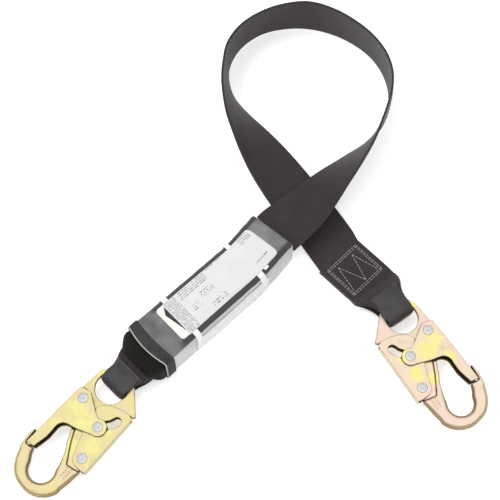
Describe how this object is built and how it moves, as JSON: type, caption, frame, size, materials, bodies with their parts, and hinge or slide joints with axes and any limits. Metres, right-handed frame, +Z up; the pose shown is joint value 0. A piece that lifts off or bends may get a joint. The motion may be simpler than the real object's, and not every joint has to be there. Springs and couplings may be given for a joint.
{
  "type": "shock absorbing lanyard",
  "caption": "Flat webbing lanyard with a tear-web energy absorber pack and a double-locking snap hook sewn to each end.",
  "frame": {"origin": "middle of the base of everything but the loose leg, on the table", "axes": "+Z up off the table; +X to the right and +Y away, as the lanyard is laid out with its loop at the back"},
  "size_m": [0.3727, 0.4322, 0.0459],
  "materials": {
    "yellow_zinc_steel": "yellow chromate zinc plate over forged and pressed steel",
    "rivet_steel": "bright zinc plated rivet",
    "spring_steel": "spring wire",
    "webbing": "plain woven polyester webbing, matt charcoal black",
    "tear_webbing": "folded tear webbing, hidden in the pack",
    "wear_sleeve": "smooth black wear sleeve with a soft sheen",
    "thread": "light grey bonded thread",
    "cover_cloth": "grey coated cloth, semi-matt",
    "hem_cloth": "dark grey coarse woven binding",
    "liner_cloth": "black soft cloth",
    "label": "white printed vinyl label",
    "side_label": "pale grey vinyl label"
  },
  "bodies": {
    "pack": {"tear_web_core": "tear_webbing", "tear_web_stitching": "thread", "loop_tail": "webbing", "strap_tail": "webbing", "pack_cover": "cover_cloth", "pack_hem": "hem_cloth", "pack_liner": "liner_cloth", "label_front": "label", "label_side": "side_label", "label_tabs": "label", "label_flap": "label", "lanyard_strap": "webbing", "strap_sewn_end": "webbing", "strap_box_stitching": "thread"},
    "absorber_neck": {"absorber_eye_webbing": "webbing", "absorber_eye_sleeve": "wear_sleeve"},
    "absorber_hook": {"absorber_hook_body": "yellow_zinc_steel", "absorber_hook_gate_rivet": "rivet_steel", "absorber_hook_lever_rivet": "rivet_steel", "absorber_hook_gate_spring": "spring_steel", "absorber_hook_lever_spring": "spring_steel"},
    "absorber_gate": {"absorber_hook_gate": "yellow_zinc_steel", "absorber_hook_catch_rivet": "rivet_steel"},
    "absorber_lever": {"absorber_hook_lever": "yellow_zinc_steel"},
    "strap_neck": {"strap_eye_webbing": "webbing", "strap_eye_sleeve": "wear_sleeve"},
    "strap_hook": {"strap_hook_body": "yellow_zinc_steel", "strap_hook_gate_rivet": "rivet_steel", "strap_hook_lever_rivet": "rivet_steel", "strap_hook_gate_spring": "spring_steel", "strap_hook_lever_spring": "spring_steel"},
    "strap_gate": {"strap_hook_gate": "yellow_zinc_steel", "strap_hook_catch_rivet": "rivet_steel"},
    "strap_lever": {"strap_hook_lever": "yellow_zinc_steel"}
  },
  "joints": [
    {"name": "absorber_neck_flex", "type": "hinge", "parent": "pack", "child": "absorber_neck", "pos_m": [-0.0912, -0.0075, 0.014], "axis": [-0.6988, 0.7153, 0], "range_deg": [-65, 65]},
    {"name": "absorber_hook_turn", "type": "hinge", "parent": "absorber_neck", "child": "absorber_hook", "pos_m": [-0.1129, -0.0287, 0.00957], "axis": [-0.0126, -0.0543, 0.9984], "range_deg": [-55, 25]},
    {"name": "absorber_gate_swing", "type": "hinge", "parent": "absorber_hook", "child": "absorber_gate", "pos_m": [-0.13411, -0.03741, 0.00883], "axis": [-0.0126, -0.0543, 0.9984], "range_deg": [0, 22], "stiffness_Nm_per_rad": 0.12, "springref_deg": -28.65, "deforming": ["absorber_hook_gate_spring"]},
    {"name": "absorber_lever_squeeze", "type": "hinge", "parent": "absorber_hook", "child": "absorber_lever", "pos_m": [-0.1332, -0.085, 0.00625], "axis": [-0.0126, -0.0543, 0.9984], "range_deg": [0, 9], "stiffness_Nm_per_rad": 0.08, "springref_deg": -22.92, "deforming": ["absorber_hook_lever_spring"]},
    {"name": "strap_neck_flex", "type": "hinge", "parent": "pack", "child": "strap_neck", "pos_m": [0.0969, 0.0635, 0.0022], "axis": [-0.8126, -0.5829, 0], "range_deg": [-65, 65]},
    {"name": "strap_hook_turn", "type": "hinge", "parent": "strap_neck", "child": "strap_hook", "pos_m": [0.1205, 0.0306, 0.00957], "axis": [0.0059, -0.0554, 0.9984], "range_deg": [-28, 52]},
    {"name": "strap_gate_swing", "type": "hinge", "parent": "strap_hook", "child": "strap_gate", "pos_m": [0.14049, 0.01937, 0.00883], "axis": [-0.0059, 0.0554, -0.9984], "range_deg": [0, 22], "stiffness_Nm_per_rad": 0.12, "springref_deg": -28.65, "deforming": ["strap_hook_gate_spring"]},
    {"name": "strap_lever_squeeze", "type": "hinge", "parent": "strap_hook", "child": "strap_lever", "pos_m": [0.13378, -0.02775, 0.00625], "axis": [-0.0059, 0.0554, -0.9984], "range_deg": [0, 9], "stiffness_Nm_per_rad": 0.08, "springref_deg": -22.92, "deforming": ["strap_hook_lever_spring"]}
  ],
  "couplings": [
    {"joint": "absorber_lever_squeeze", "follows": "absorber_gate_swing", "ratio": 0.409},
    {"joint": "strap_lever_squeeze", "follows": "strap_gate_swing", "ratio": 0.409}
  ]
}
